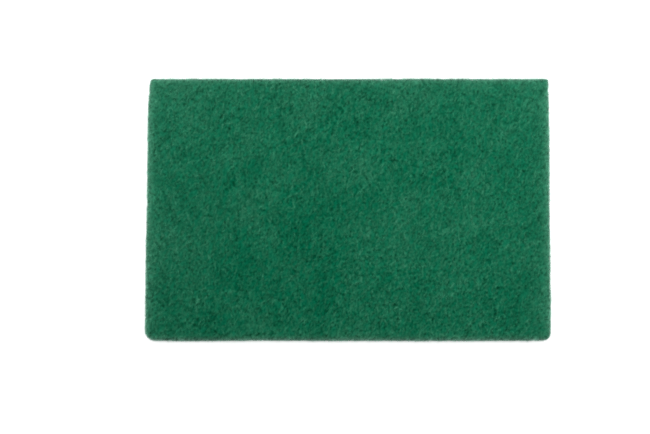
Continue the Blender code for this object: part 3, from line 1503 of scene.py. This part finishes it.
@dataclass
class CutEnds(Strands):
    """Short ends of the strands that the blade cut, standing a little out of the edge.

    How far one stands proud falls off exponentially, so few reach far.
    """

    members: int = 1
    rings: int = 2
    length: Span = Span(0.0010, 0.0022)
    width: Span = Span(0.00015, 0.00026)
    proud: Span = Span(-0.0001, 0.0013)
    proud_fade: float = 0.00031
    rise: Span = Span(0.05, 0.92)
    slant: float = 0.5
    droop: float = 0.4

    def trace(self, rng: Random) -> Traced:
        """Straight stubs: from inside the wall outwards, each with its own slant and droop.

        Args:
            rng: the layer's random source.

        Returns:
            The centre lines, the ways out of the web along them, and their lifts.
        """
        form = self.form
        station = rng.uniform(0, form.round_length, self.locks)
        share = self.rise.draw(rng, self.locks)
        way_out = form.spine_places(station)[1]
        standing = self.proud.low + rng.exponential(self.proud_fade, self.locks)
        standing = np.minimum(standing, self.proud.high)
        tip = form.places(station, form.inset_at(share) - standing)
        tip = np.concatenate([tip, (share * form.top_at(tip))[:, None]], -1)
        aside = np.stack([-way_out[:, 1], way_out[:, 0]], -1)
        lean = rng.normal(0, self.slant, (self.locks, 2))
        back = np.concatenate([-way_out + aside * lean[:, :1], self.droop * lean[:, 1:]], -1)
        length = self.length.draw(rng, self.locks)
        along = np.linspace(1, 0, self.rings)[None, :, None] * length[:, None, None]
        centres = tip[:, None, :] + along * unit(back)[:, None, :]
        centres[..., 2] = np.maximum(centres[..., 2], self.width.high / 2)
        outward = np.zeros_like(centres)
        outward[..., 2] = 1.0
        # Every stub counts as lying at the top, so the painted depth shade leaves it light.
        return centres, outward, np.full(self.locks, self.lift.high)


@dataclass
class Studio:
    """A pale floor, a white surround, soft lamps and the photograph's camera."""

    floor_size: float = 3.0
    floor_colour: Colour = (0.9, 0.9, 0.9)
    white: Colour = (1.0, 1.0, 1.0)
    floor_glow: float = 0.72
    surround_low: float = 0.57
    surround_high: float = 0.41
    left_lamp: Triple = (-0.22, 0.18, 0.25)
    right_lamp: Triple = (0.25, 0.12, 0.25)
    left_power: float = 0.56
    right_power: float = 0.71
    lamp_length: float = 0.25
    lamp_width: float = 0.12
    camera_far: float = 0.9
    camera_tilt: float = math.radians(5.4)
    camera_target: Triple = (-0.01330, -0.00501, 0.008)
    camera_lens: float = 87.6
    camera_near: float = 0.01
    sensor_width: float = 36.0

    def build(self) -> None:
        """Makes the whole stage."""
        self.floor()
        self.world()
        self.lamp("left_lamp", self.left_lamp, self.left_power)
        self.lamp("right_lamp", self.right_lamp, self.right_power)
        self.camera()

    def seen(self, made: NodeBuilder) -> Socket:
        """1 for what the camera sees, straight, mirrored or through glass, and 0 for the rest."""
        path = made.node("LightPath").outputs
        straight = made.math("MAXIMUM", path["Is Camera Ray"], path["Is Glossy Ray"])
        return made.math("MAXIMUM", straight, path["Is Transmission Ray"])

    def floor(self) -> None:
        """A floor that looks white to the camera and still takes the pad's shadow."""
        made = FinishBuilder("floor_paper")
        made.feed({
            "Base Color": opaque(self.floor_colour),
            "Roughness": 1.0,
            "Specular IOR Level": 0.0,
            "Emission Color": opaque(self.white),
            "Emission Strength": made.math("MULTIPLY", self.seen(made), self.floor_glow),
        })
        half = self.floor_size / 2
        corners = np.array([[-half, -half, 0], [half, -half, 0], [half, half, 0], [-half, half, 0]])
        mesh = new_mesh("floor", corners, [np.array([[0, 1, 2, 3]])])
        mesh.materials.append(made.finished)
        floor = new_object("floor", mesh)

    def world(self) -> None:
        """A white surround, brighter low around the pad than overhead, white to the camera."""
        world = bpy.data.worlds.new("surround")
        world.use_nodes = True
        made = NodeBuilder(world.node_tree)
        way = made.node("TexCoord").outputs["Generated"]
        height = made.node("SeparateXYZ", {"Vector": way}).outputs["Z"]
        light = made.ramp(height, self.surround_low, self.surround_high)
        background = made.tree.nodes["Background"].inputs
        made.set(background["Color"], opaque(self.white))
        made.set(background["Strength"], made.ramp(self.seen(made), light, 1.0))
        bpy.context.scene.world = world

    def lamp(self, name: str, place: Triple, power: float) -> None:
        """A long soft lamp that is turned to the pad and that no view shows.

        Args:
            name: the lamp's name.
            place: where it hangs.
            power: its power.
        """
        light = bpy.data.lights.new(name, "AREA")
        light.energy = power
        light.shape = "RECTANGLE"
        light.size = self.lamp_length
        light.size_y = self.lamp_width
        lamp = new_object(name, light)
        lamp.visible_camera = False
        lamp.location = place
        lamp.rotation_euler = facing(-Vector(place))

    def camera(self) -> None:
        """The photograph's camera: almost straight above, tilted a little towards the front."""
        data = bpy.data.cameras.new("camera")
        data.lens = self.camera_lens
        data.sensor_width = self.sensor_width
        data.clip_start = self.camera_near
        camera = new_object("camera", data)
        back = Vector((0.0, -math.sin(self.camera_tilt), math.cos(self.camera_tilt)))
        camera.location = Vector(self.camera_target) + back * self.camera_far
        camera.rotation_euler = facing(-back)
        bpy.context.scene.camera = camera


@dataclass
class HandPad:
    """The whole pad: the web's body and the strands of its outer layers."""

    upper_layers: int = 3
    upper_locks: int = 2700
    loop_count: int = 4400
    lower_locks: int = 1400
    edge_locks: int = 1300
    cut_ends: int = 9000

    def build(self) -> None:
        """Makes each piece in order."""
        form = PadForm()
        WebBody(form).build()
        upper = StrandFinish("upper_strand").material()
        for layer in range(self.upper_layers):
            name = f"upper_strands_{layer + 1}"
            FaceStrands(form, name, seed=100 + layer, locks=self.upper_locks).build(upper)
        # The loops lie highest and are lighter and greyer than the strands under them: partly
        # painted light on the top of the web.
        FaceStrands(
            form,
            "upper_loops",
            seed=150,
            locks=self.loop_count,
            members=1,
            rings=5,
            length=Span(0.003, 0.006),
            width=Span(0.00026, 0.00044),
            long_swing=Span(0.5, 1.2),
            lift=Span(-0.0002, 0.00012),
            shade_middle=0.7,
            painted_depth_shade=0.3,
        ).build(StrandFinish("loop_strand", light=(0.080, 0.441, 0.253)).material())
        FaceStrands(
            form, "lower_strands", seed=200, locks=self.lower_locks, face=Face.LOWER
        ).build(StrandFinish("lower_strand").material())
        edge = StrandFinish("edge_strand").material()
        EdgeStrands(
            form, "edge_strands", seed=301, locks=self.edge_locks, length=Span(0.006, 0.011)
        ).build(edge)
        CutEnds(form, "cut_ends", seed=400, locks=self.cut_ends).build(edge)


def main() -> None:
    """Builds the pad and its stage."""
    logging.basicConfig(level=logging.INFO)
    bpy.context.scene.view_settings.view_transform = "Standard"
    bpy.context.scene.cycles.denoising_prefilter = "NONE"
    bpy.context.scene.cycles.filter_width = FILTER_WIDTH
    HandPad().build()
    Studio().build()


if __name__ == "__main__":
    main()
